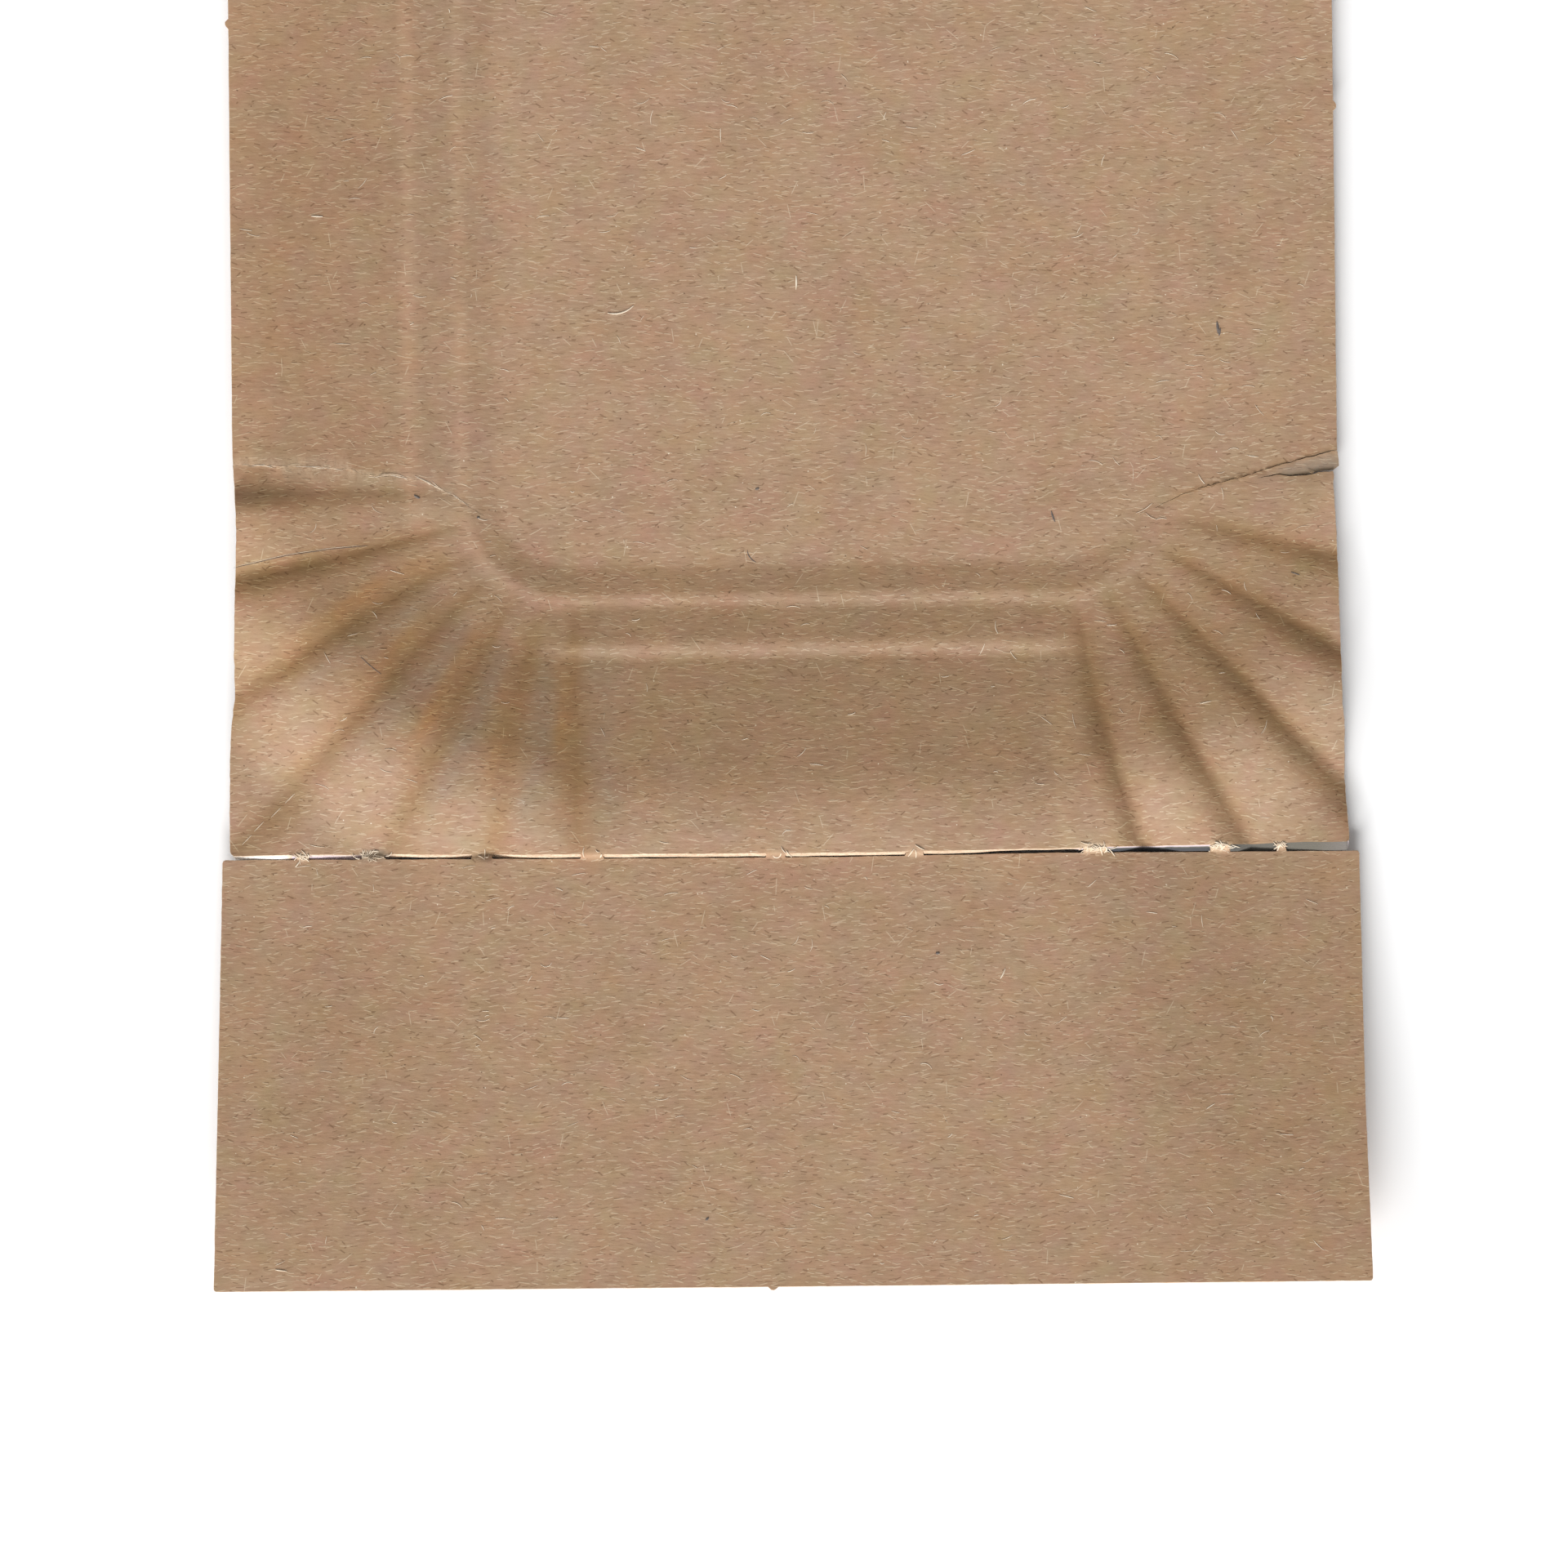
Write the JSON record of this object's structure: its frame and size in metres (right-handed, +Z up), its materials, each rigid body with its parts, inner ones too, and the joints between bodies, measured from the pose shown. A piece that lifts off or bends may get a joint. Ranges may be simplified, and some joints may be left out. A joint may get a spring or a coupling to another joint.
{
  "type": "cardboard food tray",
  "caption": "Shallow rectangular snack tray stamped from one brown board sheet, with pleated corners and a perforated tear-off panel.",
  "frame": {"origin": "middle of the stamped floor, on the floor's underside, which the tray stands on", "axes": "+Z up out of the food side, +Y along the tray away from the tear line, +X across the tray"},
  "size_m": [0.0902, 0.1841, 0.0046],
  "materials": {
    "board": "matte uncoated kraft board"
  },
  "bodies": {
    "root": {"tray": "board"}
  },
  "joints": []
}
